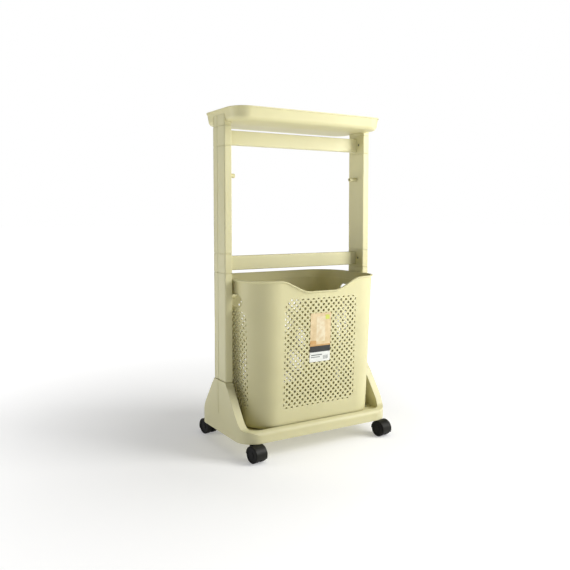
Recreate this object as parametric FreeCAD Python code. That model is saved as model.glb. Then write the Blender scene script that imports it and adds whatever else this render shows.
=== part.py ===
import FreeCAD, Part
import math
import os

# Laundry sorter on wheels: a moulded base on four twin-wheel casters, two built-up side
# posts joined by cross rails, a shallow top tray, hanging pegs and one tilting basket.
# Millimetres. +Z is up, -Y is the front, X runs along the width.
# The origin is on the floor, under the middle of the base.

# Heights above the floor
BASE_BOTTOM_Z = 45.0
BASE_FLOOR_Z = 67.0
BASE_RAIL_H = 30.0
POST_FOOT_Z = 183.0
LOWER_CONNECTOR_Z = 467.0
UPPER_CONNECTOR_Z = 793.0
CONNECTOR_H = 49.0
RAIL_RISE = 4.5
TRAY_BOTTOM_Z = 851.0
TRAY_RIM_Z = 885.0
PEG_BELOW_CONNECTOR = 75.0
LOWER_PEG_Z = 402.0

# Base moulding
BASE_HALF_X = 232.0
BASE_HALF_Y = 138.0
BASE_CORNER_R = 50.0
BASE_WALL_X = 20.0
BASE_WALL_Y = 14.0
BASE_POCKET_R = 30.0
WALL = 3.0

# Posts
POST_OUTER_X = 230.0
POST_W = 19.6
POST_D = 68.6
POST_CORNER_R = 2.0
POST_WALL = 2.2
SPIGOT_L = 22.0
SPIGOT_GAP = 0.2
GROOVE_W = 1.8
GROOVE_DEEP = 1.3
GROOVE_YS = (-31.6, 10.0, 31.6)
SEAM_H = 1.3
SEAM_DEEP = 1.4

# Cross rails
RAIL_H = 37.5
RAIL_D = 18.0
RAIL_FRONT_Y = -1.4
RAIL_WALL = 2.5
RAIL_EDGE_R = 2.5

# Hanging pegs
PEG_R = 5.75
PEG_TIP_X = 186.0
PEG_BORE_R = 3.6
PEG_BORE_DEEP = 21.0

# Rail screws
SCREW_Y = -11.6
SCREW_HEAD_R = 3.2
SCREW_HEAD_H = 1.0
SCREW_SHANK_R = 1.5
SCREW_SHANK_L = 10.0

# Tray
TRAY_HALF_X = 231.5
TRAY_HALF_Y = 102.0
TRAY_CORNER_R = 45.0
TRAY_TAPER = 6.0
TRAY_EDGE_R = 12.0
TRAY_LIP = 1.5
TRAY_LIP_H = 3.0

# Basket
BASKET_BOTTOM_Z = BASE_FLOOR_Z + 0.4
BASKET_RIM_Z = 451.0
BASKET_TOP_HALF = (203.0, 134.0)
BASKET_BOTTOM_HALF = (190.0, 117.0)
BASKET_CENTRE_Y = -4.0
BASKET_TOP_R = 82.0
BASKET_BOTTOM_R = 68.0
BASKET_EDGE_R = 12.0
BASKET_WALL = 2.5
BASKET_LIP = 4.0
BASKET_LIP_H = 5.0
DIP_DEPTH = 31.0
DIP_FLAT_X = 38.0
DIP_END_X = 128.0
HAND_HOLE_Z = 395.0
HAND_HOLE_L = 118.0
HAND_HOLE_H = 34.0

# Label
LABEL_W = 64.0
LABEL_H = 129.0
LABEL_T = 0.4
LABEL_CENTRE = (-4.0, 297.0)

# Casters
CASTER_X = 199.0
CASTER_Y = 118.0
CASTER_YAW = 10.0
CASTER_TRAIL = 18.0
WHEEL_R = 20.5
WHEEL_IN = 4.0
WHEEL_OUT = 17.0
WHEEL_BORE_R = 3.05
AXLE_R = 3.0
AXLE_HALF_L = 15.0
HOOD_IN_R = 21.5
HOOD_OUT_R = 23.0
HOOD_HALF_W = 16.5
HOOD_WEB_HALF = 3.5
HOOD_END_ANGLE = -25.0
STEM_R = 4.0
STEM_TOP_Z = 62.0
STEM_EMBED_Z = 35.0
COLLAR_R = 6.5
COLLAR_Z = (43.6, 44.7)
SOCKET_R = 8.0
SOCKET_BORE_R = 4.05
SOCKET_TOP_Z = 65.0
BOSS_R = 10.5

SIDES = (("left", -1), ("right", 1))
CORNERS = (("front_left", -1, -1), ("front_right", 1, -1), ("back_left", -1, 1), ("back_right", 1, 1))


def vec(x, y, z):
    return FreeCAD.Vector(x, y, z)


def rounded_outline(half_x, half_y, radius, z, centre_x=0.0, centre_y=0.0):
    """A closed wire: a rectangle with round corners, level at height z."""
    edges = []
    corner = math.sqrt(0.5) * radius
    spots = ((1, 1), (-1, 1), (-1, -1), (1, -1))
    ends = []
    for sx, sy in spots:
        cx = centre_x + sx * (half_x - radius)
        cy = centre_y + sy * (half_y - radius)
        along_x = vec(cx, cy + sy * radius, z)
        along_y = vec(cx + sx * radius, cy, z)
        middle = vec(cx + sx * corner, cy + sy * corner, z)
        first, last = (along_y, along_x) if sx * sy > 0 else (along_x, along_y)
        ends.append((first, middle, last))
    for index, (first, middle, last) in enumerate(ends):
        edges.append(Part.Arc(first, middle, last).toShape())
        following = ends[(index + 1) % len(ends)][0]
        if following.distanceToPoint(last) > 1e-6:
            edges.append(Part.LineSegment(last, following).toShape())
    return Part.Wire(edges)


def rounded_prism(half_x, half_y, radius, z0, z1, centre_x=0.0, centre_y=0.0):
    outline = rounded_outline(half_x, half_y, radius, z0, centre_x, centre_y)
    return Part.Face(outline).extrude(vec(0, 0, z1 - z0))


def rounded_loft(low, high):
    """A solid between two (half_x, half_y, radius, z) outlines."""
    return Part.makeLoft([rounded_outline(*low), rounded_outline(*high)], True, True)


def box(x0, x1, y0, y1, z0, z1):
    return Part.makeBox(x1 - x0, y1 - y0, z1 - z0, vec(x0, y0, z0))


def cylinder(radius, start, end):
    axis = end - start
    return Part.makeCylinder(radius, axis.Length, start, axis)


def edges_at_height(shape, z):
    return [e for e in shape.Edges if abs(e.BoundBox.ZMin - z) < 1e-4 and abs(e.BoundBox.ZMax - z) < 1e-4]


def post_section(side, z0, z1, inset=0.0):
    """A length of the post's outer section, or of a section that is smaller all round."""
    centre_x = side * (POST_OUTER_X - POST_W / 2)
    radius = max(POST_CORNER_R - inset, 0.6)
    return rounded_prism(POST_W / 2 - inset, POST_D / 2 - inset, radius, z0, z1, centre_x, 0.0)


def side_grooves(side, z0, z1):
    """The fine grooves that run up a post's outer face."""
    outer = side * POST_OUTER_X
    inner = side * (POST_OUTER_X - GROOVE_DEEP)
    beyond = outer + side * 5.0
    low_x, high_x = sorted((inner, beyond))
    cuts = [box(low_x, high_x, y - GROOVE_W / 2, y + GROOVE_W / 2, z0, z1) for y in GROOVE_YS]
    return cuts[0].multiFuse(cuts[1:])


def spigot(side, z0, z1):
    """A hollow tongue that fits inside a post."""
    outside = post_section(side, z0, z1, POST_WALL + SPIGOT_GAP)
    inside = post_section(side, z0 - 1, z1 + 1, POST_WALL + SPIGOT_GAP + 2.0)
    return outside.cut(inside)


def base_profile():
    """Side view of the base: a low rail at each end, and a foot that flares up to the post."""
    z = BASE_BOTTOM_Z
    half = [
        ("line", (BASE_HALF_Y, z + 18)),
        ("arc", (134.5, z + 26.5), (127.0, z + BASE_RAIL_H)),
        ("line", (116.0, z + 32)),
        ("arc", (111.0, z + 34), (107.0, z + 38)),
        ("line", (45.0, z + 124)),
        ("arc", (37.5, z + 132), (POST_D / 2, POST_FOOT_Z)),
    ]
    below = z - 20
    edges = []
    here = vec(0, BASE_HALF_Y, below)
    mirror_runs = []
    for run in half:
        points = [vec(0, y, height) for y, height in run[1:]]
        mirror_runs.append([here] + points)
        here = points[-1]
    for run in mirror_runs:
        for sign in (1, -1):
            points = [vec(0, sign * p.y, p.z) for p in run]
            curve = Part.LineSegment(*points) if len(points) == 2 else Part.Arc(*points)
            edges.append(curve.toShape())
    top = POST_D / 2
    edges.append(Part.LineSegment(vec(0, top, POST_FOOT_Z), vec(0, -top, POST_FOOT_Z)).toShape())
    edges.append(Part.LineSegment(vec(0, BASE_HALF_Y, below), vec(0, -BASE_HALF_Y, below)).toShape())
    return Part.Face(Part.Wire(Part.__sortEdges__(edges)))


def base_block(inset):
    """The base without its hollow, or that hollow when inset is the wall's thickness."""
    profile = base_profile()
    if inset:
        profile = profile.makeOffset2D(-inset)
    half_x = BASE_HALF_X - inset
    profile.translate(vec(-half_x, 0, 0))
    body = profile.extrude(vec(2 * half_x, 0, 0))
    low = BASE_BOTTOM_Z if not inset else BASE_BOTTOM_Z - 5
    plan = rounded_prism(half_x, BASE_HALF_Y - inset, BASE_CORNER_R - inset, low, POST_FOOT_Z)
    pocket_x = BASE_HALF_X - BASE_WALL_X + inset
    pocket_y = BASE_HALF_Y - BASE_WALL_Y + inset
    pocket = rounded_prism(pocket_x, pocket_y, BASE_POCKET_R + inset, BASE_FLOOR_Z - inset, 300)
    return body.common(plan).cut(pocket)


def make_base():
    outside = base_block(0.0)
    base = outside.cut(base_block(WALL))
    for _, sx, sy in CORNERS:
        at = vec(sx * CASTER_X, sy * CASTER_Y, BASE_BOTTOM_Z)
        boss = cylinder(BOSS_R, at, vec(at.x, at.y, SOCKET_TOP_Z + 2)).common(outside)
        base = base.fuse(boss)
        base = base.cut(cylinder(SOCKET_R, at - vec(0, 0, 1), vec(at.x, at.y, SOCKET_TOP_Z)))
    for _, side in SIDES:
        seat = post_section(side, POST_FOOT_Z - WALL, POST_FOOT_Z, POST_WALL + SPIGOT_GAP)
        tongue = spigot(side, POST_FOOT_Z - WALL, POST_FOOT_Z + SPIGOT_L)
        base = base.fuse(seat.fuse(tongue))
        outer = side * BASE_HALF_X
        low_x, high_x = sorted((outer - side * GROOVE_DEEP, outer + side * 5))
        groove = box(low_x, high_x, GROOVE_YS[1] - GROOVE_W / 2, GROOVE_YS[1] + GROOVE_W / 2,
                     BASE_FLOOR_Z + 26, POST_FOOT_Z + 1)
        base = base.cut(groove)
    return base.removeSplitter()


def seam(side, z0, z1):
    """The shallow shadow groove that runs round a post at a joint."""
    band = box(side * POST_OUTER_X - 30, side * POST_OUTER_X + 30, -POST_D, POST_D, z0, z1)
    return band.cut(post_section(side, z0 - 1, z1 + 1, SEAM_DEEP))


def make_post(side, z0, z1):
    """One hollow post tube, open at both ends."""
    tube = post_section(side, z0, z1).cut(post_section(side, z0 - 1, z1 + 1, POST_WALL))
    tube = tube.cut(side_grooves(side, z0 - 1, z1 + 1))
    return tube.cut(seam(side, z0, z0 + SEAM_H)).cut(seam(side, z1 - SEAM_H, z1))


def peg_hole(side, z):
    inner = side * (POST_OUTER_X - POST_W)
    return cylinder(PEG_R, vec(inner - side * 5, 0, z), vec(inner + side * (POST_WALL + 2), 0, z))


def make_connector(side, z0, top_spigot):
    """A moulded block between two post tubes, with a tongue up and a tongue down."""
    z1 = z0 + CONNECTOR_H
    block = post_section(side, z0, z1).cut(post_section(side, z0 + WALL, z1 - WALL, WALL))
    block = block.cut(side_grooves(side, z0 - 1, z1 + 1))
    block = block.fuse(spigot(side, z0 - SPIGOT_L, z0 + 1))
    block = block.fuse(spigot(side, z1 - 1, z1 + top_spigot))
    inner = side * (POST_OUTER_X - POST_W)
    at = vec(inner, SCREW_Y, z0 + CONNECTOR_H / 2)
    outward = vec(side, 0, 0)
    block = block.cut(cylinder(SCREW_HEAD_R, at - outward, at + outward * SCREW_HEAD_H))
    return block.cut(cylinder(SCREW_SHANK_R, at - outward, at + outward * SCREW_SHANK_L))


def make_rail_screws(z0):
    """The screw beside each end of a cross rail, as two separate solids."""
    solids = []
    for _, side in SIDES:
        at = vec(side * (POST_OUTER_X - POST_W), SCREW_Y, z0 + CONNECTOR_H / 2)
        outward = vec(side, 0, 0)
        head = cylinder(SCREW_HEAD_R, at, at + outward * SCREW_HEAD_H)
        shank = cylinder(SCREW_SHANK_R, at + outward * (SCREW_HEAD_H / 2), at + outward * SCREW_SHANK_L)
        recess = cylinder(1.4, at - outward, at + outward * 0.6)
        solids.append(head.fuse(shank).cut(recess))
    return Part.makeCompound(solids)


def make_cross_rail(connector_z):
    """A hollow rectangular rail between the two posts' inner faces."""
    half_x = POST_OUTER_X - POST_W
    z0 = connector_z + RAIL_RISE
    centre_y = RAIL_FRONT_Y + RAIL_D / 2
    outside = box(-half_x, half_x, RAIL_FRONT_Y, RAIL_FRONT_Y + RAIL_D, z0, z0 + RAIL_H)
    long_edges = [e for e in outside.Edges if abs(e.Length - 2 * half_x) < 1e-6]
    outside = outside.makeFillet(RAIL_EDGE_R, long_edges)
    depth = RAIL_D / 2 - RAIL_WALL
    inside = box(-half_x + WALL, half_x - WALL, centre_y - depth, centre_y + depth,
                 z0 + RAIL_WALL, z0 + RAIL_H - RAIL_WALL)
    return outside.cut(inside)


def make_peg(side, z):
    """A short round peg with a hollow tip, set through the post's inner wall."""
    root = side * (POST_OUTER_X - POST_W + POST_WALL)
    tip = side * PEG_TIP_X
    peg = cylinder(PEG_R, vec(root, 0, z), vec(tip, 0, z))
    end_edges = [e for e in peg.Edges if abs(e.CenterOfMass.x - tip) < 1e-4]
    peg = peg.makeFillet(0.8, end_edges)
    return peg.cut(cylinder(PEG_BORE_R, vec(tip - side, 0, z), vec(tip + side * PEG_BORE_DEEP, 0, z)))


def make_top_tray():
    low = (TRAY_HALF_X - TRAY_TAPER, TRAY_HALF_Y - TRAY_TAPER, TRAY_CORNER_R - TRAY_TAPER, TRAY_BOTTOM_Z)
    high = (TRAY_HALF_X, TRAY_HALF_Y, TRAY_CORNER_R, TRAY_RIM_Z)
    outside = rounded_loft(low, high)
    outside = outside.makeFillet(TRAY_EDGE_R, edges_at_height(outside, TRAY_BOTTOM_Z))
    lip = rounded_prism(TRAY_HALF_X + TRAY_LIP, TRAY_HALF_Y + TRAY_LIP, TRAY_CORNER_R + TRAY_LIP,
                        TRAY_RIM_Z - TRAY_LIP_H, TRAY_RIM_Z)
    low_in = (low[0] - WALL, low[1] - WALL, low[2] - WALL, TRAY_BOTTOM_Z + WALL)
    high_in = (high[0] - WALL, high[1] - WALL, high[2] - WALL, TRAY_RIM_Z + 1)
    inside = rounded_loft(low_in, high_in)
    inside = inside.makeFillet(TRAY_EDGE_R - WALL, edges_at_height(inside, TRAY_BOTTOM_Z + WALL))
    neck_z = UPPER_CONNECTOR_Z + CONNECTOR_H
    tray = outside.fuse(lip)
    for _, side in SIDES:
        neck = post_section(side, neck_z, TRAY_RIM_Z - 14)
        neck = neck.cut(side_grooves(side, neck_z - 1, TRAY_RIM_Z)).cut(seam(side, neck_z, neck_z + SEAM_H))
        tray = tray.fuse(neck)
    tray = tray.cut(inside)
    for _, side in SIDES:
        tray = tray.cut(post_section(side, neck_z - 1, TRAY_BOTTOM_Z - 1, POST_WALL))
    return tray.removeSplitter()


def basket_outline(inset, z):
    """The basket's plan at a height, as (half_x, half_y, radius, z)."""
    share = (z - BASKET_BOTTOM_Z) / (BASKET_RIM_Z - BASKET_BOTTOM_Z)
    half_x = BASKET_BOTTOM_HALF[0] + share * (BASKET_TOP_HALF[0] - BASKET_BOTTOM_HALF[0])
    half_y = BASKET_BOTTOM_HALF[1] + share * (BASKET_TOP_HALF[1] - BASKET_BOTTOM_HALF[1])
    radius = BASKET_BOTTOM_R + share * (BASKET_TOP_R - BASKET_BOTTOM_R)
    return half_x - inset, half_y - inset, radius - inset, z


def dip_cutter():
    """The space above the low front edge, which falls in two arcs at each end."""
    low = BASKET_RIM_Z - DIP_DEPTH
    run = (DIP_END_X - DIP_FLAT_X) / 2
    rise = DIP_DEPTH / 2
    radius = (run * run + rise * rise) / (2 * rise)
    turn = math.atan2(run, radius - rise) / 2
    top = BASKET_RIM_Z + 40
    points = []
    for side in (1, -1):
        first = vec(side * DIP_FLAT_X, 0, low)
        bend = vec(side * (DIP_FLAT_X + run), 0, low + rise)
        last = vec(side * DIP_END_X, 0, BASKET_RIM_Z)
        hollow = vec(side * (DIP_FLAT_X + radius * math.sin(turn)), 0, low + radius * (1 - math.cos(turn)))
        crown = vec(side * (DIP_END_X - radius * math.sin(turn)), 0,
                    BASKET_RIM_Z - radius * (1 - math.cos(turn)))
        points.append((first, hollow, bend, crown, last))
    edges = []
    for first, hollow, bend, crown, last in points:
        edges.append(Part.Arc(first, hollow, bend).toShape())
        edges.append(Part.Arc(bend, crown, last).toShape())
        edges.append(Part.LineSegment(last, vec(last.x, 0, top)).toShape())
    edges.append(Part.LineSegment(points[0][0], points[1][0]).toShape())
    edges.append(Part.LineSegment(vec(DIP_END_X, 0, top), vec(-DIP_END_X, 0, top)).toShape())
    face = Part.Face(Part.Wire(Part.__sortEdges__(edges)))
    face.translate(vec(0, -BASKET_TOP_HALF[1] - 20, 0))
    return face.extrude(vec(0, 60, 0))


def hand_hole_cutter():
    """A stadium-shaped hole that goes through both side walls."""
    radius = HAND_HOLE_H / 2
    flat = HAND_HOLE_L / 2 - radius
    reach = BASKET_TOP_HALF[0] + 10
    hole = box(-reach, reach, -flat, flat, HAND_HOLE_Z - radius, HAND_HOLE_Z + radius)
    for y in (-flat, flat):
        hole = hole.fuse(cylinder(radius, vec(-reach, y, HAND_HOLE_Z), vec(reach, y, HAND_HOLE_Z)))
    return hole


def make_basket():
    outside = rounded_loft(basket_outline(0, BASKET_BOTTOM_Z), basket_outline(0, BASKET_RIM_Z))
    outside = outside.makeFillet(BASKET_EDGE_R, edges_at_height(outside, BASKET_BOTTOM_Z))
    floor_z = BASKET_BOTTOM_Z + BASKET_WALL
    inside = rounded_loft(basket_outline(BASKET_WALL, floor_z), basket_outline(BASKET_WALL, BASKET_RIM_Z + 1))
    inside = inside.makeFillet(BASKET_EDGE_R - BASKET_WALL, edges_at_height(inside, floor_z))
    half_x, half_y = BASKET_TOP_HALF
    lip = rounded_prism(half_x + BASKET_LIP, half_y + BASKET_LIP, BASKET_TOP_R + BASKET_LIP,
                        BASKET_RIM_Z - BASKET_LIP_H, BASKET_RIM_Z)
    basket = outside.fuse(lip).cut(inside).cut(dip_cutter()).cut(hand_hole_cutter())
    basket.translate(vec(0, BASKET_CENTRE_Y, 0))
    return basket.removeSplitter()


def make_basket_label():
    """A printed card lying on the sloping front wall."""
    centre_x, centre_z = LABEL_CENTRE
    plate = box(-LABEL_W / 2, LABEL_W / 2, -LABEL_T, 0, -LABEL_H / 2, LABEL_H / 2)
    lean = (BASKET_TOP_HALF[1] - BASKET_BOTTOM_HALF[1]) / (BASKET_RIM_Z - BASKET_BOTTOM_Z)
    plate.rotate(vec(0, 0, 0), vec(1, 0, 0), math.degrees(math.atan(lean)))
    wall_y = BASKET_CENTRE_Y - basket_outline(0, centre_z)[1]
    plate.translate(vec(centre_x, wall_y - 0.05, centre_z))
    return plate


def caster_place(sx, sy):
    """Where a caster's swivel axis stands, and how far it is turned about +Z.

    A caster is drawn with its wheels trailing towards -Y, and the front ones keep that.
    """
    yaw = CASTER_YAW if sy < 0 else 180.0 + CASTER_YAW
    return vec(sx * CASTER_X, sy * CASTER_Y, 0), yaw


def place(shape, spot):
    at, yaw = spot
    shape.rotate(vec(0, 0, 0), vec(0, 0, 1), yaw)
    shape.translate(at)
    return shape


def make_hood():
    """Caster body: a web between the wheels, a fender over them and a boss for the stem."""
    centre = vec(0, -CASTER_TRAIL, WHEEL_R)
    left = centre - vec(HOOD_HALF_W, 0, 0)
    right = centre + vec(HOOD_HALF_W, 0, 0)
    shell = cylinder(HOOD_OUT_R, left, right).cut(cylinder(HOOD_IN_R, left, right))
    end = math.radians(HOOD_END_ANGLE)
    reach = 2 * HOOD_OUT_R
    keep = [
        vec(left.x, centre.y, centre.z),
        vec(left.x, centre.y - reach * math.cos(end), centre.z + reach * math.sin(end)),
        vec(left.x, centre.y - reach, centre.z + reach),
        vec(left.x, centre.y + reach, centre.z + reach),
        vec(left.x, centre.y + reach, centre.z),
    ]
    sector = Part.Face(Part.makePolygon(keep + keep[:1])).extrude(vec(2 * HOOD_HALF_W, 0, 0))
    shell = shell.common(sector)
    web_a = centre - vec(HOOD_WEB_HALF, 0, 0)
    web_b = centre + vec(HOOD_WEB_HALF, 0, 0)
    web = cylinder(HOOD_OUT_R, web_a, web_b).common(sector)
    hub = cylinder(AXLE_R + 4.5, web_a, web_b)
    top = WHEEL_R + HOOD_OUT_R
    boss = cylinder(STEM_R + 3, vec(0, 0, STEM_EMBED_Z - 4), vec(0, 0, top))
    room = cylinder(HOOD_IN_R, left, web_a).fuse(cylinder(HOOD_IN_R, web_b, right))
    hood = shell.fuse([web, hub, boss.cut(room)])
    hood = hood.cut(cylinder(AXLE_R, left, right))
    return hood.cut(cylinder(STEM_R, vec(0, 0, STEM_EMBED_Z), vec(0, 0, top + 1))).removeSplitter()


def make_stem():
    stem = cylinder(STEM_R, vec(0, 0, STEM_EMBED_Z), vec(0, 0, STEM_TOP_Z))
    collar = cylinder(COLLAR_R, vec(0, 0, COLLAR_Z[0]), vec(0, 0, COLLAR_Z[1]))
    top_edges = edges_at_height(stem, STEM_TOP_Z)
    return stem.makeFillet(1.0, top_edges).fuse(collar)


def make_axle():
    centre = vec(0, -CASTER_TRAIL, WHEEL_R)
    return cylinder(AXLE_R, centre - vec(AXLE_HALF_L, 0, 0), centre + vec(AXLE_HALF_L, 0, 0))


def make_wheel(side):
    """One disc wheel with a rounded tread and a dished outer face."""
    centre = vec(0, -CASTER_TRAIL, WHEEL_R)
    inner = centre + vec(side * WHEEL_IN, 0, 0)
    outer = centre + vec(side * WHEEL_OUT, 0, 0)
    wheel = cylinder(WHEEL_R, inner, outer)
    rims = [e for e in wheel.Edges if abs(e.Length - 2 * math.pi * WHEEL_R) < 1e-3]
    wheel = wheel.makeFillet(1.5, rims)
    dish = cylinder(WHEEL_R - 4, outer - vec(side * 1.2, 0, 0), outer + vec(side, 0, 0))
    cap = cylinder(7.0, outer - vec(side * 1.4, 0, 0), outer - vec(side * 0.2, 0, 0))
    bore = cylinder(WHEEL_BORE_R, inner - vec(side, 0, 0), centre + vec(side * (AXLE_HALF_L + 0.2), 0, 0))
    return wheel.cut(dish).fuse(cap).cut(bore)


def make_socket():
    """The sleeve pressed into the base, in which a caster's stem turns."""
    sleeve = cylinder(SOCKET_R, vec(0, 0, BASE_BOTTOM_Z), vec(0, 0, SOCKET_TOP_Z))
    return sleeve.cut(cylinder(SOCKET_BORE_R, vec(0, 0, BASE_BOTTOM_Z - 1), vec(0, 0, STEM_TOP_Z + 1)))


def save(name, shape):
    bad = not shape.isValid() or any(not s.isClosed() for s in shape.Shells)
    note = "  CHECK" if bad else ""
    print(f"{name}: {len(shape.Solids)} solid(s), {shape.Volume / 1000:.1f} cm3{note}")
    shape.exportStep(f"parts/{name}.step")


def main():
    os.makedirs("parts", exist_ok=True)
    save("base", make_base())
    lower_top = LOWER_CONNECTOR_Z + CONNECTOR_H
    upper_peg_z = UPPER_CONNECTOR_Z - PEG_BELOW_CONNECTOR
    for name, side in SIDES:
        lower = make_post(side, POST_FOOT_Z, LOWER_CONNECTOR_Z).cut(peg_hole(side, LOWER_PEG_Z))
        upper = make_post(side, lower_top, UPPER_CONNECTOR_Z).cut(peg_hole(side, upper_peg_z))
        save(f"lower_post_{name}", lower)
        save(f"upper_post_{name}", upper)
        save(f"lower_connector_{name}", make_connector(side, LOWER_CONNECTOR_Z, SPIGOT_L))
        save(f"upper_connector_{name}", make_connector(side, UPPER_CONNECTOR_Z, 7.0))
        save(f"lower_peg_{name}", make_peg(side, LOWER_PEG_Z))
        save(f"upper_peg_{name}", make_peg(side, upper_peg_z))
    for level, connector_z in (("lower", LOWER_CONNECTOR_Z), ("upper", UPPER_CONNECTOR_Z)):
        save(f"{level}_cross_rail", make_cross_rail(connector_z))
        save(f"{level}_rail_screws", make_rail_screws(connector_z))
    save("top_tray", make_top_tray())
    save("basket", make_basket())
    save("basket_label", make_basket_label())
    for name, sx, sy in CORNERS:
        spot = caster_place(sx, sy)
        save(f"caster_socket_{name}", place(make_socket(), spot))
        save(f"caster_stem_{name}", place(make_stem(), spot))
        save(f"caster_hood_{name}", place(make_hood(), spot))
        save(f"caster_axle_{name}", place(make_axle(), spot))
        for hand, side in (("a", -1), ("b", 1)):
            save(f"caster_wheel_{hand}_{name}", place(make_wheel(side), spot))


main()
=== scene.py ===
import math

import bmesh
import bpy
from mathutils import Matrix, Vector


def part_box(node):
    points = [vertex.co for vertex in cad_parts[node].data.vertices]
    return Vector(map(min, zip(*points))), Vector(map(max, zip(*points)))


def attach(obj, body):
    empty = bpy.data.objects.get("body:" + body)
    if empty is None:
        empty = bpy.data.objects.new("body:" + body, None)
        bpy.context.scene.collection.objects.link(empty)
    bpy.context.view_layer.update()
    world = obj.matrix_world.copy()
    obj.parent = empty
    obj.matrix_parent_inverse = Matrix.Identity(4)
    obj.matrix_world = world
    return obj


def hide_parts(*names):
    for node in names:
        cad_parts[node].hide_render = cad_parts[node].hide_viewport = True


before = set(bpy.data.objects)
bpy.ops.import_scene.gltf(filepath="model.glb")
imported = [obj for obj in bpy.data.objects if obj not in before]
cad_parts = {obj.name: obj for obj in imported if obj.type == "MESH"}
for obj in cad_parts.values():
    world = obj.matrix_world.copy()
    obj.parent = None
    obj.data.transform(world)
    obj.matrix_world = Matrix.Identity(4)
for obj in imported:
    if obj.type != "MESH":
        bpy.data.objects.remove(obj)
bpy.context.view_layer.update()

MM = 0.001
BASKET_LOW, BASKET_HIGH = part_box("basket")
LABEL_LOW, LABEL_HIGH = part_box("basket_label")

# Basket shape, in metres
RIM_Z = BASKET_HIGH[2]
FOOT_Z = BASKET_LOW[2]
LIP_OUT = 4.0 * MM
NOSE_R = 1.6 * MM
CENTRE_Y = (BASKET_HIGH[1] + BASKET_LOW[1]) / 2
TOP_HALF = (BASKET_HIGH[0] - LIP_OUT, BASKET_HIGH[1] - CENTRE_Y - LIP_OUT)
FOOT_INSET = (13.0 * MM, 17.0 * MM)
TOP_CORNER = 82.0 * MM
FOOT_CORNER = 68.0 * MM
EDGE_R = 12.0 * MM
SHEET = 2.5 * MM
BOW = 3.0 * MM
DIP_DEPTH = 31.0 * MM
DIP_FLAT = 38.0 * MM
DIP_END = 128.0 * MM
HAND_HOLE_Z = 395.0 * MM
HAND_HOLE_HALF = 59.0 * MM
HAND_HOLE_R = 17.0 * MM

# Lattice of holes
STEP = 4.0 * MM
COLUMN = 8.0 * MM
HOLE_R = 3.55 * MM
SMALL_HOLE = 0.6
FRONT_PANEL_HALF = 112.0 * MM
SIDE_PANEL_HALF = 76.0 * MM
PANEL_FOOT = 112.0 * MM
PANEL_CORNER = 18.0 * MM
GRID_TOP = 408.0 * MM
GRID_FOOT = 84.0 * MM
HOLE_BLOCK_HALF = 64.0 * MM
HOLE_BLOCK_Z = (376.0 * MM, 416.0 * MM)

# Camera, in metres and degrees
CAMERA_PLACE = (-0.9784, -1.5639, 0.6179)
CAMERA_AZIMUTH = -31.2
CAMERA_DIP = 3.91
LENS_MM = 42.08
SENSOR_MM = 36.0
SHIFT_UP = -0.044


# ---------------------------------------------------------------- materials

def new_material(name):
    """An empty node material with its principled shader, its node tree and object coordinates."""
    material = bpy.data.materials.new(name)
    material.use_nodes = True
    tree = material.node_tree
    shader = tree.nodes["Principled BSDF"]
    place = tree.nodes.new("ShaderNodeTexCoord").outputs["Object"]
    return material, tree, shader, place


def noise(tree, place, scale, detail=3.0, roughness=0.5):
    node = tree.nodes.new("ShaderNodeTexNoise")
    node.inputs["Scale"].default_value = scale
    node.inputs["Detail"].default_value = detail
    node.inputs["Roughness"].default_value = roughness
    tree.links.new(place, node.inputs["Vector"])
    return node.outputs["Fac"]


def ramp(tree, factor, low, high, low_at=0.3, high_at=0.7):
    """Maps a 0 to 1 factor onto a blend between two colours."""
    node = tree.nodes.new("ShaderNodeValToRGB")
    node.color_ramp.elements[0].position = low_at
    node.color_ramp.elements[1].position = high_at
    node.color_ramp.elements[0].color = (*low, 1.0)
    node.color_ramp.elements[1].color = (*high, 1.0)
    tree.links.new(factor, node.inputs["Fac"])
    return node.outputs["Color"]


def remap(tree, value, low, high):
    """Maps a 0 to 1 value onto low to high."""
    node = tree.nodes.new("ShaderNodeMapRange")
    node.inputs["To Min"].default_value = low
    node.inputs["To Max"].default_value = high
    tree.links.new(value, node.inputs["Value"])
    return node.outputs["Result"]


def mix_colour(tree, factor, first, second):
    node = tree.nodes.new("ShaderNodeMix")
    node.data_type = "RGBA"
    tree.links.new(factor, node.inputs["Factor"])
    for socket, source in ((node.inputs[6], first), (node.inputs[7], second)):
        if isinstance(source, tuple):
            socket.default_value = (*source, 1.0)
        else:
            tree.links.new(source, socket)
    return node.outputs[2]


def edge_mask(tree):
    """About 1 along convex edges and 0 elsewhere, for worn edges."""
    geometry = tree.nodes.new("ShaderNodeNewGeometry")
    node = tree.nodes.new("ShaderNodeMapRange")
    node.inputs["From Min"].default_value = 0.52
    node.inputs["From Max"].default_value = 0.64
    tree.links.new(geometry.outputs["Pointiness"], node.inputs["Value"])
    return node.outputs["Result"]


def bump(tree, shader, heights, rounding=0.0):
    """Chains (height, strength, distance) bumps into the shader's normal, over softened edges."""
    normal = None
    if rounding:
        node = tree.nodes.new("ShaderNodeBevel")
        node.inputs["Radius"].default_value = rounding
        node.samples = 4
        normal = node.outputs["Normal"]
    for height, strength, distance in heights:
        node = tree.nodes.new("ShaderNodeBump")
        node.inputs["Strength"].default_value = strength
        node.inputs["Distance"].default_value = distance
        tree.links.new(height, node.inputs["Height"])
        if normal:
            tree.links.new(normal, node.inputs["Normal"])
        normal = node.outputs["Normal"]
    tree.links.new(normal, shader.inputs["Normal"])


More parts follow.
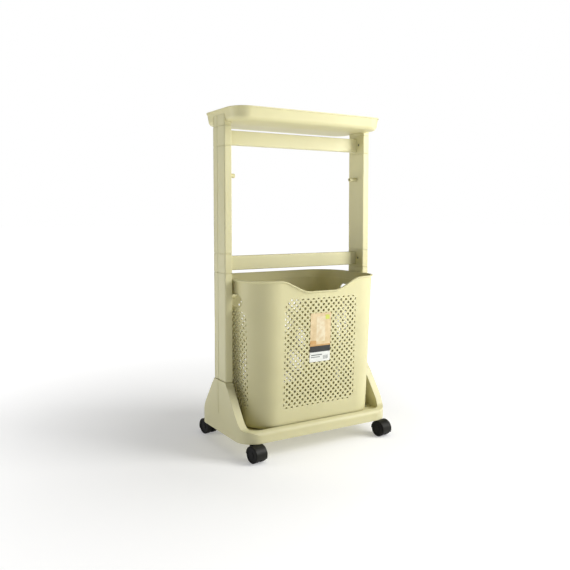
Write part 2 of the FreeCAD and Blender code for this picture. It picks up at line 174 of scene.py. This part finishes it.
def moulded_plastic(name, base, deep, worn, gloss, grain, grain_size, rounding=0.0):
    """Moulded plastic: faint flow clouds, a fine grain, paler worn edges and uneven gloss."""
    material, tree, shader, place = new_material(name)
    clouds = noise(tree, place, 9.0, 4.0)
    specks = noise(tree, place, 900.0, 2.0, 0.6)
    colour = ramp(tree, clouds, deep, base, 0.25, 0.6)
    speckled = mix_colour(tree, remap(tree, specks, 0.0, 0.10), colour, worn)
    worn_mask = remap(tree, edge_mask(tree), 0.0, 0.45)
    tree.links.new(mix_colour(tree, worn_mask, speckled, worn), shader.inputs["Base Color"])
    smears = noise(tree, place, 22.0, 5.0, 0.6)
    tree.links.new(remap(tree, smears, gloss - 0.06, gloss + 0.08), shader.inputs["Roughness"])
    texture = noise(tree, place, grain_size, 2.0, 0.6)
    waves = noise(tree, place, 14.0, 2.0)
    bump(tree, shader, [(waves, 0.12, 0.002), (texture, grain, 0.0004)], rounding)
    shader.inputs["Specular IOR Level"].default_value = 0.42
    return material, shader


def cream_plastic(name, gloss, grain, grain_size, rounding):
    material, shader = moulded_plastic(
        name, (0.635, 0.597, 0.340), (0.595, 0.558, 0.310), (0.72, 0.69, 0.46),
        gloss, grain, grain_size, rounding)
    shader.inputs["Subsurface Weight"].default_value = 0.12
    shader.inputs["Subsurface Radius"].default_value = (0.006, 0.005, 0.003)
    shader.inputs["Subsurface Scale"].default_value = 1.0
    return material


def black_plastic(name, base, gloss, grain, rounding):
    worn = tuple(c * 2.0 + 0.003 for c in base)
    deep = tuple(c * 0.7 for c in base)
    material, shader = moulded_plastic(name, base, deep, worn, gloss, grain, 1400.0, rounding)
    shader.inputs["Specular IOR Level"].default_value = 0.2
    return material


def zinc_steel():
    """Zinc-plated steel with a soft patchy lustre."""
    material, tree, shader, place = new_material("zinc_steel")
    patches = noise(tree, place, 160.0, 4.0)
    tree.links.new(ramp(tree, patches, (0.16, 0.16, 0.15), (0.26, 0.26, 0.25)), shader.inputs["Base Color"])
    tree.links.new(remap(tree, patches, 0.25, 0.45), shader.inputs["Roughness"])
    bump(tree, shader, [(noise(tree, place, 700.0), 0.15, 0.0003)])
    shader.inputs["Metallic"].default_value = 1.0
    return material


def printed_card(name, base, other, blotch):
    """Printed card: an ink colour that drifts towards another, with a paper tooth."""
    material, tree, shader, place = new_material(name)
    cloud = noise(tree, place, blotch, 4.0, 0.6)
    fibre = noise(tree, place, 1500.0, 2.0)
    tree.links.new(ramp(tree, cloud, base, other, 0.35, 0.65), shader.inputs["Base Color"])
    tree.links.new(remap(tree, fibre, 0.32, 0.5), shader.inputs["Roughness"])
    bump(tree, shader, [(fibre, 0.15, 0.0002)])
    return material


# ---------------------------------------------------------------- basket shape

def smooth(x):
    """Eases from 0 to 1 while x does."""
    x = min(max(x, 0.0), 1.0)
    return x * x * (3 - 2 * x)


def basket_plan(z):
    """(half width, half depth, corner radius) of the basket's outside at a height."""
    share = (z - FOOT_Z) / (RIM_Z - FOOT_Z)
    half_x = TOP_HALF[0] - FOOT_INSET[0] * (1 - share)
    half_y = TOP_HALF[1] - FOOT_INSET[1] * (1 - share)
    return half_x, half_y, FOOT_CORNER + share * (TOP_CORNER - FOOT_CORNER)


# The way round the basket is measured by u, which is about a length: from the middle of the
# front to the right, and on round. Each flat and each corner has a fixed share of it.
FRONT_FLAT = 120.0 * MM
SIDE_FLAT = 48.0 * MM
CORNER_RUN = 120.0 * MM
QUARTERS = (FRONT_FLAT, FRONT_FLAT + CORNER_RUN, FRONT_FLAT + CORNER_RUN + SIDE_FLAT)
HALF_ROUND = 2 * QUARTERS[2]
ROUND = 2 * HALF_ROUND


def basket_point(u, z, out=0.0, plan=None):
    """The point at u and z on the basket's outside, moved outwards by out."""
    half_x, half_y, radius = plan or basket_plan(z)
    u = (u + HALF_ROUND) % ROUND - HALF_ROUND
    side = -1.0 if u < 0 else 1.0
    u = abs(u)
    back = u > QUARTERS[2]
    if back:
        u = HALF_ROUND - u
    flat_x, flat_y = half_x - radius, half_y - radius
    if u <= QUARTERS[0]:
        x = u / QUARTERS[0] * flat_x
        y = -half_y - out
        if not back:
            y -= BOW * smooth((z - 0.1) / 0.2) * (1 - (u / QUARTERS[0]) ** 2) ** 2
    elif u <= QUARTERS[1]:
        angle = (u - QUARTERS[0]) / CORNER_RUN * math.pi / 2
        x = flat_x + (radius + out) * math.sin(angle)
        y = -flat_y - (radius + out) * math.cos(angle)
    else:
        x = half_x + out
        y = -flat_y * (QUARTERS[2] - u) / SIDE_FLAT
    return Vector((side * x, CENTRE_Y + (-y if back else y), z))


def rim_height(u):
    """Height of the basket's top edge: level, but low in the middle of the front."""
    u = (u + HALF_ROUND) % ROUND - HALF_ROUND
    along = basket_point(u, RIM_Z).x
    if abs(u) > QUARTERS[1]:
        return RIM_Z
    return RIM_Z - DIP_DEPTH * (1 - smooth((abs(along) - DIP_FLAT) / (DIP_END - DIP_FLAT)))


class Sheet:
    """Collects welded faces on the basket's wall from (u, z) points."""

    def __init__(self, mesh):
        self.mesh = mesh
        self.known = {}

    def vertex(self, u, z):
        u = (u + HALF_ROUND) % ROUND - HALF_ROUND
        if u > HALF_ROUND - 1e-6:
            u -= ROUND
        key = (round(u * 1e5), round(z * 1e5))
        if key not in self.known:
            lifted = z
            if z > GRID_TOP:
                top = rim_height(u)
                lifted = GRID_TOP + (z - GRID_TOP) * (top - GRID_TOP) / (RIM_Z - GRID_TOP)
            self.known[key] = self.mesh.verts.new(basket_point(u, lifted))
        return self.known[key]

    def face(self, points):
        corners = []
        for u, z in points:
            vertex = self.vertex(u, z)
            if vertex not in corners:
                corners.append(vertex)
        if len(corners) > 2:
            self.mesh.faces.new(corners)


def steps(start, end, size):
    """Evenly spaced values from start to end, about size apart."""
    count = max(1, round((end - start) / size))
    return [start + (end - start) * i / count for i in range(count + 1)]


def plain_grid(sheet, us, zs):
    for u0, u1 in zip(us, us[1:]):
        for z0, z1 in zip(zs, zs[1:]):
            sheet.face([(u0, z0), (u1, z0), (u1, z1), (u0, z1)])


def hole_cell(sheet, u, z, wide, tall):
    """A cell one column wide and two high, with an oval hole in the middle."""
    a, b = STEP, 2 * STEP
    border = [(a, 0), (a, a), (a, b), (0, b), (-a, b), (-a, a)]
    border += [(-du, -dz) for du, dz in border]
    ring = []
    for index in range(len(border)):
        angle = 2 * math.pi * index / len(border)
        ring.append((u + HOLE_R * wide * math.cos(angle), z + HOLE_R * tall * math.sin(angle)))
    for index, (du, dz) in enumerate(border):
        following = (index + 1) % len(border)
        eu, ez = border[following]
        sheet.face([ring[index], (u + du, z + dz), (u + eu, z + ez), ring[following]])


def lattice(sheet, centre_u, half, foot, top):
    """A panel of staggered holes, with small ones along its border and none at its corners."""
    for i in range(round(2 * half / COLUMN)):
        u = centre_u - half + (i + 0.5) * COLUMN
        across = [u - STEP, u, u + STEP]
        low = foot
        if i % 2 == 0:
            low += COLUMN
            plain_grid(sheet, across, steps(foot, low, STEP))
        while low + 2 * COLUMN <= top + 1e-6:
            z = low + COLUMN
            from_edge = half - abs(u - centre_u)
            from_end = min(z - foot, top - z)
            short = math.hypot(max(0.0, PANEL_CORNER - from_edge), max(0.0, PANEL_CORNER - from_end))
            if short > PANEL_CORNER * 0.9:
                plain_grid(sheet, across, steps(low, low + 2 * COLUMN, STEP))
            else:
                wide = SMALL_HOLE if from_edge < COLUMN else 1.0
                tall = SMALL_HOLE if from_end < 1.4 * COLUMN else 1.0
                hole_cell(sheet, u, z, wide, tall)
            low += 2 * COLUMN
        if low < top - 1e-6:
            plain_grid(sheet, across, steps(low, top, STEP))


def hand_hole(sheet, centre_u):
    """The wall round a stadium-shaped hand-hole, out to a rectangle of the grid."""
    low, high = HOLE_BLOCK_Z
    half = HOLE_BLOCK_HALF
    us = steps(-half, half, STEP)
    zs = steps(low, high, STEP)
    border = [(u, low) for u in us[:-1]] + [(half, z) for z in zs[:-1]]
    border += [(u, high) for u in reversed(us[1:])] + [(-half, z) for z in reversed(zs[1:])]
    flat = HAND_HOLE_HALF - HAND_HOLE_R
    inner = []
    for u, z in border:
        dz = z - HAND_HOLE_Z
        nearest = min(max(u, -flat), flat)
        reach = math.hypot(u - nearest, dz)
        inner.append((nearest + (u - nearest) / reach * HAND_HOLE_R, HAND_HOLE_Z + dz / reach * HAND_HOLE_R))
    middle = [((a[0] + b[0]) / 2, (a[1] + b[1]) / 2) for a, b in zip(border, inner)]
    for ring_a, ring_b in ((border, middle), (middle, inner)):
        for i in range(len(border)):
            j = (i + 1) % len(border)
            corners = [ring_a[i], ring_a[j], ring_b[j], ring_b[i]]
            sheet.face([(centre_u + u, z) for u, z in corners])


def side_bands():
    """(centre of u, half width, has a hand-hole) of the front, side and back panels."""
    side_u = QUARTERS[2]
    return (
        (0.0, FRONT_PANEL_HALF, False),
        (side_u, SIDE_PANEL_HALF, True),
        (HALF_ROUND, FRONT_PANEL_HALF, False),
        (-side_u, SIDE_PANEL_HALF, True),
    )


def foot_rings():
    """(height, outwards, scale) of the rounded bottom edge and the floor, which shrinks inwards."""
    rings = []
    for i in range(7):
        angle = math.pi / 2 * i / 6
        rings.append((FOOT_Z + EDGE_R * (1 - math.sin(angle)), -EDGE_R * (1 - math.cos(angle)), 1.0))
    rings += [(FOOT_Z, -EDGE_R, scale) for scale in (0.8, 0.6, 0.4, 0.2, 0.06)]
    return rings


def build_wall(mesh):
    """The wall's faces, and the list of u values that go once round it."""
    sheet = Sheet(mesh)
    low, high = HOLE_BLOCK_Z
    levels = steps(GRID_TOP, high, STEP) + steps(high, RIM_Z, STEP)[1:]
    over_block = [z for z in levels if z >= high - 1e-6]
    all_us = []
    bands = side_bands()
    for (centre, half, has_hole), following in zip(bands, bands[1:] + bands[:1]):
        us = steps(centre - half, centre + half, STEP)
        plain_grid(sheet, us, steps(GRID_FOOT, PANEL_FOOT, STEP))
        if has_hole:
            lattice(sheet, centre, half, PANEL_FOOT, low)
            hand_hole(sheet, centre)
            left = [u for u in us if u <= centre - HOLE_BLOCK_HALF + 1e-6]
            right = [u for u in us if u >= centre + HOLE_BLOCK_HALF - 1e-6]
            for beside in (left, right):
                plain_grid(sheet, beside, steps(low, high, STEP))
            plain_grid(sheet, us, over_block)
        else:
            front = centre == 0.0
            panel_top = GRID_TOP if front else low
            lattice(sheet, centre, half, PANEL_FOOT, panel_top)
            if not front:
                plain_grid(sheet, us, steps(panel_top, GRID_TOP, STEP))
            plain_grid(sheet, us, levels)
        start = centre + half
        end = following[0] - following[1]
        if end < start:
            end += ROUND
        corner_us = steps(start, end, COLUMN)
        plain_grid(sheet, corner_us, steps(GRID_FOOT, GRID_TOP, STEP) + levels[1:])
        all_us += us[:-1] + corner_us[:-1]
    return sheet, all_us


def build_bottom(mesh, sheet, us):
    previous = [sheet.vertex(u, GRID_FOOT) for u in us]
    for z, inset, scale in foot_rings():
        plan = basket_plan(max(z, FOOT_Z + EDGE_R))
        ring = []
        for u in us:
            point = basket_point(u, z, inset, plan)
            y = CENTRE_Y + (point.y - CENTRE_Y) * scale
            ring.append(mesh.verts.new((point.x * scale, y, point.z)))
        for i in range(len(us)):
            j = (i + 1) % len(us)
            mesh.faces.new([ring[i], ring[j], previous[j], previous[i]])
        previous = ring
    mesh.faces.new(list(reversed(previous)))


def finish_object(name, mesh, materials, smooth_angle=40.0):
    data = bpy.data.meshes.new(name)
    mesh.to_mesh(data)
    mesh.free()
    for material in materials:
        data.materials.append(material)
    piece = bpy.data.objects.new(name, data)
    bpy.context.scene.collection.objects.link(piece)
    data.shade_smooth()
    data.set_sharp_from_angle(angle=math.radians(smooth_angle))
    return piece


def apply_modifiers(piece):
    graph = bpy.context.evaluated_depsgraph_get()
    data = bpy.data.meshes.new_from_object(piece.evaluated_get(graph))
    piece.modifiers.clear()
    piece.data = data
    return data


def sweep(mesh, paths, closed):
    """Faces between the rings of points in paths, each ring a closed cross-section."""
    rings = [[mesh.verts.new(p) for p in ring] for ring in paths]
    count = len(rings)
    for i in range(count if closed else count - 1):
        ring_a, ring_b = rings[i], rings[(i + 1) % count]
        for j in range(len(ring_a)):
            k = (j + 1) % len(ring_a)
            mesh.faces.new([ring_a[j], ring_b[j], ring_b[k], ring_a[k]])
    if not closed:
        mesh.faces.new(rings[0])
        mesh.faces.new(list(reversed(rings[-1])))


def rim_section():
    """Cross-section of the rolled rim, as (outwards, up) from the wall's top edge."""
    nose = LIP_OUT - NOSE_R
    section = [(-SHEET - 0.2 * MM, -3.5 * MM), (-SHEET - 0.2 * MM, -0.8 * MM)]
    section += [(-SHEET + 0.7 * MM, 0.0), (nose, 0.0)]
    for i in range(1, 6):
        angle = math.pi / 2 * (1 - i / 3)
        section.append((nose + NOSE_R * math.cos(angle), -NOSE_R + NOSE_R * math.sin(angle)))
    section += [(LIP_OUT - 2.2 * MM, -3.9 * MM), (0.4 * MM, -5.0 * MM)]
    return section


def build_rim(us):
    mesh = bmesh.new()
    paths = []
    for u in us:
        top = rim_height(u)
        slope = (rim_height(u + MM) - rim_height(u - MM)) / (2 * MM)
        along = basket_point(u + MM, top) - basket_point(u - MM, top)
        along.normalize()
        tilt = math.atan(slope)
        ring = []
        for out, up in rim_section():
            point = basket_point(u, top, out)
            point.z = top
            point += Vector((-along.x * math.sin(tilt), -along.y * math.sin(tilt), math.cos(tilt))) * up
            ring.append(point)
        paths.append(ring)
    sweep(mesh, paths, True)
    return mesh


def ring_bead(height, inset, radius, us):
    """A fine round bead that runs along the wall at one height."""
    mesh = bmesh.new()
    paths = []
    for u in us:
        ring = []
        for i in range(6):
            angle = 2 * math.pi * i / 6
            z = height + radius * math.sin(angle)
            ring.append(basket_point(u, z, inset + radius * math.cos(angle)))
        paths.append(ring)
    sweep(mesh, paths, False)
    return mesh


def stadium_points(count):
    """Points round a hand-hole, as (u, z, outward u, outward z)."""
    flat = HAND_HOLE_HALF - HAND_HOLE_R
    straight = 2 * flat
    arc = math.pi * HAND_HOLE_R
    total = 2 * (straight + arc)
    points = []
    for i in range(count):
        s = total * i / count
        if s < straight:
            points.append((-flat + s, -HAND_HOLE_R, 0.0, -1.0))
        elif s < straight + arc:
            angle = -math.pi / 2 + (s - straight) / HAND_HOLE_R
            points.append((flat + HAND_HOLE_R * math.cos(angle), HAND_HOLE_R * math.sin(angle),
                           math.cos(angle), math.sin(angle)))
        elif s < 2 * straight + arc:
            points.append((flat - (s - straight - arc), HAND_HOLE_R, 0.0, 1.0))
        else:
            angle = math.pi / 2 + (s - 2 * straight - arc) / HAND_HOLE_R
            points.append((-flat + HAND_HOLE_R * math.cos(angle), HAND_HOLE_R * math.sin(angle),
                           math.cos(angle), math.sin(angle)))
    return points


def hand_hole_lip(centre_u):
    """The rolled edge that stiffens a hand-hole: it stands in from the wall."""
    mesh = bmesh.new()
    section = [(-0.3 * MM, 0.8 * MM), (-0.8 * MM, 0.0), (-0.8 * MM, -SHEET - 3.0 * MM),
               (0.0, -SHEET - 3.6 * MM), (1.2 * MM, -SHEET - 3.6 * MM), (1.6 * MM, -SHEET - 3.0 * MM),
               (1.6 * MM, 0.2 * MM), (1.0 * MM, 0.8 * MM)]
    paths = []
    for u, z, du, dz in stadium_points(96):
        ring = []
        for away, out in section:
            ring.append(basket_point(centre_u + u + du * away, HAND_HOLE_Z + z + dz * away, out))
        paths.append(ring)
    sweep(mesh, paths, True)
    return mesh


def join_into(piece, meshes):
    """Adds loose closed meshes to a piece's own mesh."""
    mesh = bmesh.new()
    mesh.from_mesh(piece.data)
    for extra in meshes:
        bmesh.ops.recalc_face_normals(extra, faces=extra.faces)
        data = bpy.data.meshes.new("extra")
        extra.to_mesh(data)
        extra.free()
        mesh.from_mesh(data)
        bpy.data.meshes.remove(data)
    mesh.to_mesh(piece.data)
    mesh.free()
    piece.data.shade_smooth()
    piece.data.set_sharp_from_angle(angle=math.radians(40.0))


def make_basket(material):
    mesh = bmesh.new()
    sheet, us = build_wall(mesh)
    build_bottom(mesh, sheet, us)
    bmesh.ops.recalc_face_normals(mesh, faces=mesh.faces)
    piece = finish_object("basket_shell", mesh, [material])
    solid = piece.modifiers.new("wall", "SOLIDIFY")
    solid.thickness = SHEET
    solid.offset = -1.0
    solid.use_even_offset = False
    apply_modifiers(piece)
    side_u = QUARTERS[2]
    clear = DIP_END + 6 * MM
    bead_us = sorted((u for u in us if clear < u % ROUND < ROUND - clear), key=lambda u: u % ROUND)
    extras = [build_rim(us), hand_hole_lip(side_u), hand_hole_lip(-side_u),
              ring_bead(RIM_Z - 23 * MM, -SHEET, 0.7 * MM, bead_us)]
    join_into(piece, extras)
    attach(piece, "basket")
    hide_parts("basket")
    return piece


# ---------------------------------------------------------------- label

def label_patch(mesh, x0, x1, z0, z1, lift, material_index):
    """A thin raised block of print on the basket's front, between two widths and two heights."""
    xs = steps(x0, x1, 8 * MM)
    zs = steps(z0, z1, 12 * MM)
    half_x, _, radius = basket_plan((z0 + z1) / 2)
    ratio = QUARTERS[0] / (half_x - radius)
    top = [[mesh.verts.new(basket_point(x * ratio, z, lift)) for x in xs] for z in zs]
    low = [[mesh.verts.new(basket_point(x * ratio, z, 0.05 * MM)) for x in xs] for z in zs]
    faces = []
    for i in range(len(zs) - 1):
        for j in range(len(xs) - 1):
            faces.append([top[i][j], top[i][j + 1], top[i + 1][j + 1], top[i + 1][j]])
            faces.append([low[i][j], low[i + 1][j], low[i + 1][j + 1], low[i][j + 1]])
    for j in range(len(xs) - 1):
        faces.append([low[0][j], low[0][j + 1], top[0][j + 1], top[0][j]])
        faces.append([top[-1][j], top[-1][j + 1], low[-1][j + 1], low[-1][j]])
    for i in range(len(zs) - 1):
        faces.append([top[i][0], top[i + 1][0], low[i + 1][0], low[i][0]])
        faces.append([low[i][-1], low[i + 1][-1], top[i + 1][-1], top[i][-1]])
    for corners in faces:
        mesh.faces.new(corners).material_index = material_index


def make_label():
    """The card label: generic blocks of colour, with no lettering."""
    inks = [
        printed_card("label_beige", (0.62, 0.47, 0.25), (0.75, 0.60, 0.36), 60.0),
        printed_card("label_pale", (0.78, 0.70, 0.50), (0.66, 0.52, 0.30), 80.0),
        printed_card("label_orange", (0.50, 0.27, 0.08), (0.60, 0.36, 0.13), 90.0),
        printed_card("label_black", (0.012, 0.014, 0.014), (0.02, 0.022, 0.02), 60.0),
        printed_card("label_white", (0.72, 0.74, 0.70), (0.80, 0.81, 0.77), 40.0),
        printed_card("label_grey", (0.10, 0.12, 0.12), (0.16, 0.18, 0.17), 90.0),
        printed_card("label_green", (0.50, 0.56, 0.05), (0.58, 0.62, 0.10), 90.0),
    ]
    mesh = bmesh.new()
    left, right = LABEL_LOW[0], LABEL_HIGH[0]
    low, high = LABEL_LOW[2], LABEL_HIGH[2]
    wide, tall = right - left, high - low

    def patch(u0, u1, v0, v1, layer, ink):
        lift = (0.45 + 0.08 * layer) * MM
        label_patch(mesh, left + u0 * wide, left + u1 * wide, low + v0 * tall, low + v1 * tall, lift, ink)

    patch(0.0, 1.0, 0.0, 1.0, 0, 0)
    patch(0.30, 0.72, 0.42, 0.93, 1, 1)
    patch(0.0, 0.30, 0.36, 0.44, 1, 2)
    patch(0.0, 1.0, 0.32, 0.355, 1, 2)
    patch(0.0, 1.0, 0.20, 0.325, 2, 3)
    patch(0.0, 1.0, 0.0, 0.20, 1, 4)
    patch(0.72, 0.92, 0.865, 0.955, 2, 6)
    patch(0.07, 0.60, 0.13, 0.15, 2, 5)
    patch(0.07, 0.50, 0.09, 0.105, 2, 5)
    for bar in range(9):
        start = 0.66 + 0.028 * bar
        patch(start, start + 0.010 + 0.006 * (bar % 3 == 0), 0.04, 0.12, 2, 5)
    bmesh.ops.recalc_face_normals(mesh, faces=mesh.faces)
    piece = finish_object("basket_label_print", mesh, inks)
    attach(piece, "basket")
    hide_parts("basket_label")
    return piece


# ---------------------------------------------------------------- CAD nodes

def paint(node, material):
    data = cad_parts[node].data
    data.materials.clear()
    data.materials.append(material)


def paint_frame(cream, hood, wheel, steel):
    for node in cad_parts:
        if node.startswith("caster_hood") or node.startswith("caster_socket"):
            paint(node, hood)
        elif node.startswith("caster_wheel"):
            paint(node, wheel)
        elif node.startswith(("caster_stem", "caster_axle")) or node.endswith("screws"):
            paint(node, steel)
        else:
            paint(node, cream)


# ---------------------------------------------------------------- stage

def make_stage():
    """A pale floor, a little brighter far off so that it meets the white surroundings."""
    material, tree, shader, place = new_material("studio_floor")
    drift = noise(tree, place, 0.7, 2.0)
    tree.links.new(ramp(tree, drift, (0.72, 0.72, 0.72), (0.75, 0.75, 0.75)), shader.inputs["Base Color"])
    shader.inputs["Roughness"].default_value = 0.9
    length = tree.nodes.new("ShaderNodeVectorMath")
    length.operation = "LENGTH"
    tree.links.new(place, length.inputs[0])
    glow = remap(tree, length.outputs["Value"], 0.30, 1.0)
    glow.node.inputs["From Min"].default_value = 0.4
    glow.node.inputs["From Max"].default_value = 1.8
    tree.links.new(glow, shader.inputs["Emission Strength"])
    shader.inputs["Emission Color"].default_value = (1.0, 1.0, 1.0, 1.0)
    mesh = bmesh.new()
    half = 30.0
    corners = [(sx * half, sy * half, 0.0) for sx, sy in ((-1, -1), (1, -1), (1, 1), (-1, 1))]
    mesh.faces.new([mesh.verts.new(corner) for corner in corners])
    finish_object("studio_floor", mesh, [material])


def area_light(name, place, target, size, power, colour=(1.0, 1.0, 1.0)):
    light = bpy.data.lights.new(name, "AREA")
    light.shape = "RECTANGLE"
    light.size, light.size_y = size
    light.energy = power
    light.color = colour
    lamp = bpy.data.objects.new(name, light)
    lamp.location = place
    lamp.rotation_euler = (Vector(target) - Vector(place)).to_track_quat("-Z", "Y").to_euler()
    bpy.context.scene.collection.objects.link(lamp)


def make_world():
    """White surroundings that light the object only faintly."""
    world = bpy.data.worlds.new("studio")
    bpy.context.scene.world = world
    world.use_nodes = True
    nodes, links = world.node_tree.nodes, world.node_tree.links
    strength = nodes.new("ShaderNodeMapRange")
    strength.inputs["To Min"].default_value = 0.06
    strength.inputs["To Max"].default_value = 1.0
    links.new(nodes.new("ShaderNodeLightPath").outputs["Is Camera Ray"], strength.inputs["Value"])
    links.new(strength.outputs["Result"], nodes["Background"].inputs["Strength"])
    nodes["Background"].inputs["Color"].default_value = (1.0, 1.0, 1.0, 1.0)


def make_lights():
    """A key light from the right and soft fill from the left and above, shown without a film curve."""
    bpy.context.scene.view_settings.view_transform = "Standard"
    area_light("soft_right", (1.2, -1.12, 1.15), (0.0, -0.1, 0.3), (0.9, 1.3), 36.0, (1.0, 0.995, 0.97))
    area_light("soft_left", (-1.9, 0.85, 0.75), (0.0, 0.0, 0.4), (0.9, 1.5), 11.5)
    area_light("soft_top", (0.2, -0.1, 2.9), (0.0, 0.0, 0.5), (1.6, 1.6), 20.0)


def make_camera():
    data = bpy.data.cameras.new("camera")
    data.sensor_width = SENSOR_MM
    data.lens = LENS_MM
    data.shift_y = SHIFT_UP
    camera = bpy.data.objects.new("camera", data)
    camera.location = CAMERA_PLACE
    dip = math.radians(CAMERA_DIP)
    camera.rotation_euler = (math.pi / 2 - dip, 0.0, math.radians(CAMERA_AZIMUTH))
    bpy.context.scene.collection.objects.link(camera)
    bpy.context.scene.camera = camera


def main():
    cream = cream_plastic("cream_plastic", 0.42, 0.10, 1600.0, 0.8 * MM)
    stipple = cream_plastic("basket_cream", 0.46, 0.28, 900.0, 0.0)
    hood = black_plastic("caster_black", (0.007, 0.007, 0.005), 0.46, 0.2, 0.5 * MM)
    wheel = black_plastic("wheel_black", (0.004, 0.004, 0.004), 0.52, 0.2, 0.4 * MM)
    paint_frame(cream, hood, wheel, zinc_steel())
    make_basket(stipple)
    make_label()
    make_stage()
    make_world()
    make_lights()
    make_camera()


main()
